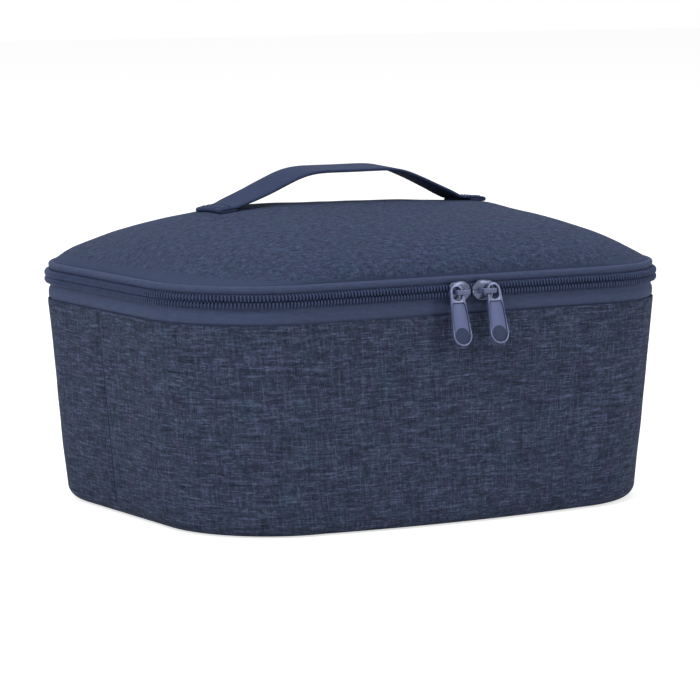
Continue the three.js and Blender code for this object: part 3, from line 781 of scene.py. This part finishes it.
tape_low = sweep("tape_lower", zip_turns, lower_tape, swell=tape_swell)
dress(tape_low, tape_cloth, "bag_body", "plain_tape", "lower_zip_tape")
# The rolled edge over the zip, from the coil up to the lid's cloth and back in under it. The
# sliders' upper flanges end in front of it.
upper_band = [(1.28, 3.35), (0.98, 3.62), (0.7, 4.05), (0.46, 4.6), (0.34, 5.2), (0.32, 5.8), (0.45, 6.3)]
upper_band += [(0.75, 6.68), (1.2, 6.95), (1.9, 7.12), (2.56, 7.2), (2.57, 6.6), (2.15, 5.0)]
upper_band = [(inset, ZIP + rise) for inset, rise in upper_band]
upper_tape = [(TAPE_BACK, ZIP + 0.4), (1.85, ZIP + 0.12), (1.35, ZIP + 0.12)]
upper_tape += [(TAPE_FACE, ZIP + 0.3), (TAPE_FACE, ZIP + 2)] + upper_band
tape_up = sweep("tape_upper", zip_turns, upper_tape)
dress(tape_up, tape_cloth, "lid", "plain_tape", "upper_zip_tape")

# One cloth from the body up to the lid, which on the real bag bends over 5 mm at the height of the zip; here
# it is one fixed piece that belongs to neither
hinge_turns = spaced(ZIP_END - 8 + 0.001, ZIP_START - 0.001, 2.5)
hinge_rows = np.linspace(TAPE_BOTTOM, ZIP + 3.0, 30)
hinge_profile = [(TAPE_FACE, z) for z in hinge_rows] + upper_band
hinge_profile += [(TAPE_BACK, z) for z in hinge_rows[::-1]]
hinge_cloth = sweep("hinge_cloth", hinge_turns, hinge_profile)
dress(hinge_cloth, tape_cloth, None, "plain_tape", "hinge_strip_lower", "hinge_strip_upper")
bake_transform(hinge_cloth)


def tooth_row(name, side):
    """One loop of nylon wire for each tooth, leaning a little along the zip."""
    start, end = along(np.array([ZIP_START, ZIP_END]))
    count = int((end - start) / TOOTH_PITCH)
    centres = start + TOOTH_PITCH * (np.arange(count) + (0.5 if side > 0 else 1.0))
    centres = centres[centres < end - 0.4]
    head, heel = ZIP + side * 0.1, ZIP + side * 3.3
    wire, sides = 0.46, 7
    front_d = -1.4 + wire
    path = [(0.85, heel - side * 0.3), (0.1, heel - side * 0.42), (front_d + 0.35, heel - side * 0.62)]
    path += [(front_d, heel - side * 1.15), (front_d, head + side * 1.05)]
    path += [(front_d + 0.3, head + side * wire), (0.1, head + side * (wire + 0.05))]
    path = np.array(path + [(0.85, head + side * 0.6)])
    lean = np.linspace(-0.16, 0.16, len(path))
    normal = normals_of(path)
    swell = wire * np.array([0.9, 0.95, 1, 1, 1.05, 1.2, 1.05, 0.9])
    angles = np.linspace(0, 2 * math.pi, sides, endpoint=False)
    offset_s = lean[:, None] + 0.92 * swell[:, None] * np.cos(angles)
    offset_d = path[:, :1] + swell[:, None] * np.sin(angles) * normal[:, :1]
    offset_z = path[:, 1:] + swell[:, None] * np.sin(angles) * normal[:, 1:]
    flat_s = (centres[:, None, None] + offset_s).reshape(-1)
    kx, ky, ox, oy = place_at(turn_at(flat_s))
    inset = np.tile(offset_d.reshape(-1), len(centres))
    # Towards the bag's sides the teeth stand out up to 0.4 more
    round_corner = np.clip(1 - np.abs(oy), 0, 1)
    inset = np.where(inset < 0.2, inset - 0.4 * round_corner ** 0.5, inset)
    z = np.tile(offset_z.reshape(-1), len(centres))
    radius = CORNER - inset
    x, y = kx * (HALF_X - CORNER) + ox * radius, ky * (HALF_Y - CORNER) + oy * radius
    points = np.column_stack([x, y, z])
    faces = []
    for tooth in range(len(centres)):
        faces += tube_faces(tooth * len(path) * sides, len(path), sides)
    return make_mesh(name, points, faces, None, 80)


dress(tooth_row("coil_lower", -1), coil_nylon, "bag_body", "coil", "lower_zip_coil")
dress(tooth_row("coil_upper", 1), coil_nylon, "lid", "coil", "upper_zip_coil")


# Strap

def strap_path():
    """Middle line of the webbing, from the tucked end of one foot over to the other."""
    def side(sign, rise):
        def seat(x):
            return lid_top(sign * x, STRAP_Y) + 0.03
        lower = [(x, seat(x) + FOOT_THICK / 2) for x in np.linspace(FOOT_START + 2, FOOT_END - 0.9, 4)]
        fold_z = seat(FOOT_END) + FOOT_THICK + 0.02
        fold = [(FOOT_END + 0.5 * math.cos(a), fold_z + 0.53 * math.sin(a)) for a in np.radians([-50, 0, 50])]
        upper = [(x, seat(x) + FOOT_THICK * 1.5 + 0.04) for x in (FOOT_END - 0.9, 72.5, 69.6)]
        grip = [(44.0, 156.1), (38.0, 158.6), (32.0, 160.9), (26.0, 162.5), (19.0, 163.3), (10.0, 163.4)]
        return [(sign * x, z) for x, z in lower + fold + upper + rise + grip]
    left = side(-1, [(66.0, 148.15), (62.6, 149.0), (56.0, 151.3), (50.0, 153.6)])
    right = side(1, [(66.0, 146.8), (62.6, 147.5), (56.0, 150.7), (50.0, 153.4)])
    return np.array(left + [(0.0, 163.35)] + right[::-1])


def smooth_line(points, step):
    """Catmull-Rom curve through points, sampled about a step apart."""
    padded = np.vstack([2 * points[0] - points[1], points, 2 * points[-1] - points[-2]])
    result = []
    for a, b, c, d in zip(padded, padded[1:], padded[2:], padded[3:]):
        count = max(2, int(np.linalg.norm(c - b) / step))
        for t in np.arange(count) / count:
            result.append(0.5 * (2 * b + (c - a) * t + (2 * a - 5 * b + 4 * c - d) * t ** 2
                                 + (3 * b - a - 3 * c + d) * t ** 3))
    result.append(points[-1])
    return np.array(result)


def strap():
    """The webbing, thinner and laid on the lid's cloth towards its feet."""
    line = smooth_line(strap_path(), 1.0)
    normal = normals_of(line)
    half_w, half_t = STRAP_WIDTH / 2, STRAP_THICK / 2
    # Where it thins, where it is laid on the lid, and the radius and turn of its rounded edges
    thinning, laid, edge, edge_turn = 58, 63, 0.6, 80
    at_foot = slope(np.abs(line[:, 0]) - thinning, FOOT_START - thinning)
    half_t = half_t + (FOOT_THICK / 2 - half_t) * at_foot[:, None]
    section = []
    for sign in (-1, 1):
        for a in np.radians(np.linspace(-edge_turn, edge_turn, 6)):
            rise = sign * math.sin(a) / math.sin(math.radians(edge_turn))
            section.append((sign * (half_w - edge + edge * math.cos(a)), rise))
        section += [(sign * half_w * s, sign) for s in (0.6, 0.2, -0.2, -0.6)]
    section = np.array(section)
    run = run_along(line)
    wave = 0.25 * np.sin(run / 41 + 0.6)
    lift = 0.04 * slope(FOOT_START - np.abs(line[:, 0]), 20)
    points = np.empty((len(line), len(section), 3))
    points[:, :, 0] = line[:, :1] + normal[:, :1] * half_t * section[:, 1]
    points[:, :, 2] = line[:, 1:] + normal[:, 1:] * half_t * section[:, 1] + lift[:, None] * section[:, 0]
    points[:, :, 1] = STRAP_Y + section[:, 0] + wave[:, None]
    for i in np.flatnonzero(np.abs(line[:, 0]) > laid):
        drape = min(1.0, (abs(line[i, 0]) - laid) / 4)
        for j, (x, y, z) in enumerate(points[i]):
            points[i, j, 2] = z + drape * (lid_top(x, y) - lid_top(x, STRAP_Y))
    across = np.append(section[:, 0], section[0, 0])
    faces, corners = grid(points, run, across)
    close_ends(faces, corners, run, across, len(section))
    return make_mesh("strap_web", points, faces, corners, 50)


dress(strap(), web_cloth, "lid", "webbing", "handle_strap")


def capsules(name, segments, radius):
    """Short rounded threads, one for each pair of end points."""
    sides = 6
    points, faces = [], []
    for a, b in segments:
        a, b = Vector(a), Vector(b)
        along_thread = (b - a).normalized()
        first = along_thread.orthogonal().normalized()
        second = along_thread.cross(first)
        faces += tube_faces(len(points), 5, sides)
        for share, width in ((0.0, 0.35), (0.12, 0.9), (0.5, 1.0), (0.88, 0.9), (1.0, 0.35)):
            centre = a.lerp(b, share)
            for j in range(sides):
                angle = 2 * math.pi * j / sides
                points.append(centre + (first * math.cos(angle) + second * math.sin(angle)) * radius * width)
    uv = [(0.0, 0.0)] * sum(len(f) for f in faces)
    return make_mesh(name, [tuple(p) for p in points], faces, uv, 80)


def foot_stitches():
    """A rectangle of stitches on each foot of the strap."""
    segments = []
    stitch, half = 2.4, 10.5        # pitch, and half the width of the rectangle
    ring = box(FOOT_START + 4, FOOT_END - 1, STRAP_Y - half, STRAP_Y + half)
    for sign in (-1, 1):
        for (xa, ya), (xb, yb) in zip(ring, ring[1:] + ring[:1]):
            count = int(math.hypot(xb - xa, yb - ya) / stitch)
            for i in range(count):
                ends = []
                for share in ((i + 0.14) / count, (i + 0.86) / count):
                    x, y = sign * (xa + (xb - xa) * share), ya + (yb - ya) * share
                    ends.append((x, y, lid_top(x, y) + 0.16 + 2 * FOOT_THICK))
                segments.append(ends)
    return capsules("strap_stitches", segments, 0.22)


dress(foot_stitches(), thread, "lid", "webbing")


# Sliders and pulls

def prism(outlines, low, high, bevel, segments=2):
    """A plate from an outline in the upright plane, holes after the first, with rounded edges.
    Its front is towards -Y."""
    curve = bpy.data.curves.new("prism", "CURVE")
    curve.dimensions = "2D"
    curve.fill_mode = "BOTH"
    curve.extrude = (high - low) / 2 - bevel
    curve.bevel_depth = bevel
    curve.bevel_resolution = segments
    curve.offset = -bevel
    for line in outlines:
        spline = curve.splines.new("POLY")
        spline.points.add(len(line) - 1)
        for point, (x, z) in zip(spline.points, line):
            point.co = (x, z, 0, 1)
        spline.use_cyclic_u = True
    obj = add_object("prism", curve)
    bpy.context.view_layer.update()
    mesh = bpy.data.meshes.new_from_object(obj.evaluated_get(bpy.context.evaluated_depsgraph_get()))
    bpy.data.objects.remove(obj)
    mesh.transform(Matrix.Translation((0, 0, (low + high) / 2)))
    mesh.transform(Matrix.Rotation(math.radians(90), 4, "X"))
    return mesh


def joined(name, meshes, move, sharp=35):
    """One object from meshes in millimetres, each with a material number."""
    bm = bmesh.new()
    for mesh, number in meshes:
        before = len(bm.faces)
        bm.from_mesh(mesh)
        bm.faces.ensure_lookup_table()
        for face in bm.faces[before:]:
            face.material_index = number
        bpy.data.meshes.remove(mesh)
    bmesh.ops.remove_doubles(bm, verts=bm.verts, dist=1e-4)
    bmesh.ops.recalc_face_normals(bm, faces=bm.faces)
    bmesh.ops.transform(bm, matrix=Matrix.Diagonal((MM, MM, MM, 1)) @ move, verts=bm.verts)
    mesh = bpy.data.meshes.new(name)
    bm.to_mesh(mesh)
    bm.free()
    return smoothed(name, mesh, sharp)


def bezier_outline(start, pieces):
    """Points of straight and quadratic pieces, each (end) or (control, end)."""
    steps = 7
    points = [start]
    for piece in pieces:
        if len(piece) == 1:
            points.append(piece[0])
            continue
        control, end = piece
        a = points[-1]
        for t in np.arange(1, steps + 1) / steps:
            wa, wb, wc = (1 - t) ** 2, 2 * t * (1 - t), t ** 2
            points.append(tuple(wa * p + wb * q + wc * r for p, q, r in zip(a, control, end)))
    return points


SLIDER_LEN, SLIDER_HIGH, TAIL_ROUND = 12.0, 9.8, 2.6
TAIL_LEG, NOSE_LEG, LEG = 4.1, 1.8, 1.6
PLATE_BACK, PLATE_FRONT = 1.7, 2.9
LEFT_X, RIGHT_X = -1.7, 11.1


def plate_outline():
    """Outline of a slider's plates, the nose towards +X."""
    tail, nose, high = -SLIDER_LEN / 2, SLIDER_LEN / 2, SLIDER_HIGH / 2
    tail_high = high - 0.5
    upper = [((nose, high - 3.1), (nose - 1.6, high - 1.9)), ((2.9, high), (0.0, high))]
    upper += [((tail + TAIL_ROUND, tail_high),), ((tail, tail_high), (tail, tail_high - TAIL_ROUND))]
    points = bezier_outline((nose, 0.0), upper)
    lower = [(x, -z) for x, z in points[1:]][::-1]
    return points + lower


def arch(start, end, foot, top, turn):
    """Points up from one foot and down to the other, with round corners at the top."""
    step = math.copysign(turn, end - start)
    pieces = [((start, top - turn),), ((start, top), (start + step, top)), ((end - step, top),)]
    pieces += [((end, top), (end, top - turn)), ((end, foot),)]
    return bezier_outline((start, foot), pieces)


def bridge_mesh():
    """The bridge that holds the pull, drawn from above and given its height."""
    under, top, foot, half = PLATE_FRONT + 3.8, PLATE_FRONT + 5.0, PLATE_BACK + 0.4, LEG / 2
    outer = arch(NOSE_LEG + half, -TAIL_LEG - half, foot, top, 1.6)
    inner = arch(-TAIL_LEG + half, NOSE_LEG - half, foot, under, 0.9)
    mesh = prism([outer + inner], -1.2, 1.2, 0.55, 4)
    mesh.transform(Matrix.Rotation(math.radians(90), 4, "X"))
    return mesh


def domed_plate(outline, back, edge, crown):
    """A plate with a flat back and a domed front that has a groove towards its nose."""
    shape = np.array(outline)
    shares = np.array([0.94, 1.0, 1.0, 0.99, 0.96, 0.9, 0.82, 0.72, 0.6, 0.46, 0.3, 0.14])
    points = []
    for i, share in enumerate(shares):
        x, z = (shape * share).T
        if i < 2:
            out = np.full(len(x), back + 0.2 * i)
        else:
            groove = 0.75 * np.exp(-((z + 0.1) / 0.7) ** 2) * np.clip(x - 0.9, 0, 1)
            out = edge + (crown - edge) * math.sqrt(1 - share ** 2) - groove * min(1.0, (1 - share) * 12)
        points.append(np.column_stack([x, -out, z]))
    n = len(shape)
    flat = np.vstack(points + [[[0, -crown, 0]]])
    last = (len(shares) - 1) * n
    faces = [tuple(range(n))] + grid_faces(len(shares), n, len(shares) - 1, n, flip=True)
    faces += [(last + j, last + (j + 1) % n, len(flat) - 1) for j in range(n)]
    mesh = bpy.data.meshes.new("plate")
    mesh.from_pydata(flat.tolist(), [], faces)
    return mesh


def slider(name, node, body, x, nose):
    """A slider with its nose towards +X or -X: front plate, rear plate, flanges, post and bridge."""
    plate = plate_outline()
    rear_front, rear_back = 2.6, 3.4
    meshes = [(domed_plate(plate, PLATE_BACK, 2.15, 3.2), 0)]
    meshes.append((prism([plate], -rear_back, -rear_front, 0.2), 0))
    # The upper flange ends sooner, in front of the rolled edge
    for low, high, tip in ((-4.15, -3.8, -0.9), (3.8, 4.15, -0.45)):
        meshes.append((prism([box(-4.4, 1.4, low, high)], tip, 2.0, 0.08), 0))
    post = box(2.2, 5.0, -0.07, 0.07)
    meshes.append((prism([post], -rear_front - 0.2, 2.0, 0.02), 0))
    # The bridge takes the pull's paint, which renders lighter than the slider's: a painted highlight on the
    # bar
    meshes.append((bridge_mesh(), 1))
    move = Matrix.Translation((x, -HALF_Y, ZIP)) @ Matrix.Diagonal((nose, 1, 1, 1))
    dress(joined(name, meshes, move), slider_paint, body, "slider", node).data.materials.append(pull_paint)


def pill(top_radius, end_radius, length, steps=16):
    """Outline with two round ends, the upper one at the origin."""
    lean = math.asin((end_radius - top_radius) / length)
    upper = on_circle(0, 0, top_radius, np.linspace(lean, math.pi - lean, steps))
    return upper + on_circle(0, -length, end_radius, np.linspace(math.pi - lean, 2 * math.pi + lean, steps))


PULL_LEN, PULL_TOP, PULL_END, PULL_THICK = 20.8, 3.7, 5.2, 1.4
PULL_LEAN, PULL_OUT = 15, 2.2       # degrees, and from the slider's plate to the eye
EYE, EYE_LEN, RIM, RECESS, DISC, GROOVE = 2.5, 1.9, 0.8, 0.4, 3.9, 0.35


def pull_window(margin=0.0):
    """Outline of the recessed panel, with rounded upper corners."""
    top = -(EYE_LEN + EYE + 0.9 + margin)
    whole = pill(PULL_TOP - RIM - margin, PULL_END - RIM - margin, PULL_LEN, 40)
    low = [p for p in whole if p[1] < top - 1.3][::-1]
    right = low[0]
    left = (-right[0], right[1])
    round_left = bezier_outline(left, [((-right[0] + 0.12, top), (-right[0] + 1.4, top))])
    round_right = bezier_outline((right[0] - 1.4, top), [((right[0] - 0.12, top), right)])
    return round_right + [p for p in low if p not in (left, right)] + round_left


def pull(name, node, body, x):
    """A framed casting with an eye, a recessed panel and a disc."""
    half = PULL_THICK / 2
    eye = pill(EYE, EYE, EYE_LEN, 12)
    window = pull_window()
    meshes = [(prism([pill(PULL_TOP, PULL_END, PULL_LEN), eye[::-1], window], -half, half, 0.2, 3), 0)]
    low, high = -half + RECESS, half - RECESS
    meshes.append((prism([window[::-1]], low, low + 0.15, 0.02, 1), 1))
    meshes.append((prism([pull_window(GROOVE)[::-1]], low, high, 0.08, 2), 1))
    turns = np.linspace(0, 2 * math.pi, 36, endpoint=False)

    def circle(radius):
        return on_circle(0, -PULL_LEN - 0.25, radius, turns)

    meshes.append((prism([circle(DISC)], high - 0.06, high + 0.06, 0.04, 2), 2))
    meshes.append((prism([circle(3.3), circle(2.95)[::-1]], high, high + 0.14, 0.05, 2), 2))
    lean = Matrix.Rotation(-math.radians(PULL_LEAN), 4, "X")
    move = Matrix.Translation((x, -(HALF_Y + PLATE_FRONT + PULL_OUT), ZIP)) @ lean
    obj = dress(joined(name, meshes, move, 40), pull_paint, body, "pull", node)
    for paint in (panel_paint, disc_paint):
        obj.data.materials.append(paint)


slider("slider_cast_left", "slider_left", "left_slider", LEFT_X, 1)
slider("slider_cast_right", "slider_right", "right_slider", RIGHT_X, -1)
pull("pull_cast_left", "pull_left", "left_pull", LEFT_X - TAIL_LEG)
pull("pull_cast_right", "pull_right", "right_pull", RIGHT_X + TAIL_LEG)


# Floor, light and camera

FLOOR_GAP = 0.0004      # metres between the bag and the floor, so that their faces don't meet


def shader_node(tree, kind, **inputs):
    """A node of a tree outside Graph, with values for its inputs."""
    node = tree.nodes.new("ShaderNode" + kind)
    for key, value in inputs.items():
        node.inputs[key].default_value = value
    return node


def link(tree, node, *outputs):
    """Leads outputs to the first inputs of a node, in order."""
    for socket, output in zip(node.inputs, outputs):
        tree.links.new(output, socket)


def seen_directly(tree):
    """1 for camera, glossy and transmission rays, which show the white background."""
    path = shader_node(tree, "LightPath")
    total = path.outputs["Is Camera Ray"]
    for kind in ("Is Glossy Ray", "Is Transmission Ray"):
        add = shader_node(tree, "Math")
        add.operation = "ADD"
        add.use_clamp = True
        link(tree, add, total, path.outputs[kind])
        total = add.outputs[0]
    return total


def stage_material():
    """Pale floor that shows white to the camera and keeps the bag's shadow."""
    material = bpy.data.materials.new("floor_white")
    material.use_nodes = True
    tree = material.node_tree
    tree.nodes.clear()
    out = shader_node(tree, "OutputMaterial")
    diffuse = shader_node(tree, "BsdfDiffuse", Color=(0.8, 0.8, 0.8, 1))
    glow = shader_node(tree, "Emission", Strength=0.67)
    both = shader_node(tree, "AddShader")
    mix = shader_node(tree, "MixShader")
    link(tree, both, diffuse.outputs[0], glow.outputs[0])
    link(tree, mix, seen_directly(tree), diffuse.outputs[0], both.outputs[0])
    link(tree, out, mix.outputs[0])
    return material


floor_mesh = bpy.data.meshes.new("floor")
floor_mesh.from_pydata([(x, y, 0) for x, y in box(-6, 6, -6, 6)], [], [(0, 1, 2, 3)])
floor = add_object("floor", floor_mesh)
floor.location = (0, 0, -FLOOR_GAP)
floor_mesh.materials.append(stage_material())

world = bpy.data.worlds.new("studio")
bpy.context.scene.world = world
world.use_nodes = True
sky = world.node_tree
soft = sky.nodes["Background"]
soft.inputs["Color"].default_value = (1, 1, 1, 1)
soft.inputs["Strength"].default_value = 0.37
white = shader_node(sky, "Background", Strength=1.0, Color=(1, 1, 1, 1))
mix = shader_node(sky, "MixShader")
link(sky, mix, seen_directly(sky), soft.outputs[0], white.outputs[0])
link(sky, sky.nodes["World Output"], mix.outputs[0])


def area_light(name, place, target, size, power):
    """A round lamp, in metres and watts."""
    light = bpy.data.lights.new(name, "AREA")
    light.shape = "DISK"
    light.size = size
    light.energy = power
    obj = add_object(name, light)
    obj.location = place
    obj.rotation_euler = (Vector(target) - Vector(place)).to_track_quat("-Z", "Y").to_euler()


area_light("key", (-2.2, -0.8, 1.8), (0, 0, 0.08), 1.4, 35)
area_light("top", (0.2, 0.3, 2.4), (0, 0, 0.1), 1.8, 18)
area_light("fill", (1.4, -2.1, 1.3), (0, 0, 0.08), 0.7, 15)

# The photo's camera, its measures in metres and in pixels of a picture 700 wide
YAW, RISE, DISTANCE = math.radians(31.360), math.radians(7.215), 1.7750
AIM = Vector((0, 0, 0.065))
PICTURE, FOCUS, SHIFT_X, SHIFT_Y, SENSOR = 700, 3541.5, -1.39, 15.10, 36
back_axis = (-math.sin(YAW) * math.cos(RISE), -math.cos(YAW) * math.cos(RISE), math.sin(RISE))
back_axis = Vector(back_axis)
right_axis = Vector((math.cos(YAW), -math.sin(YAW), 0))
up_axis = back_axis.cross(right_axis)
camera_data = bpy.data.cameras.new("camera")
camera = add_object("camera", camera_data)
rotation = Matrix((right_axis, up_axis, back_axis)).transposed()
camera.matrix_world = Matrix.Translation(AIM + back_axis * DISTANCE) @ rotation.to_4x4()
camera_data.sensor_width = SENSOR
camera_data.lens = FOCUS / PICTURE * SENSOR
camera_data.shift_x = SHIFT_X / PICTURE
camera_data.shift_y = SHIFT_Y / PICTURE
camera_data.clip_start, camera_data.clip_end = 0.05, 50
bpy.context.scene.camera = camera
bpy.context.scene.view_settings.view_transform = "Standard"
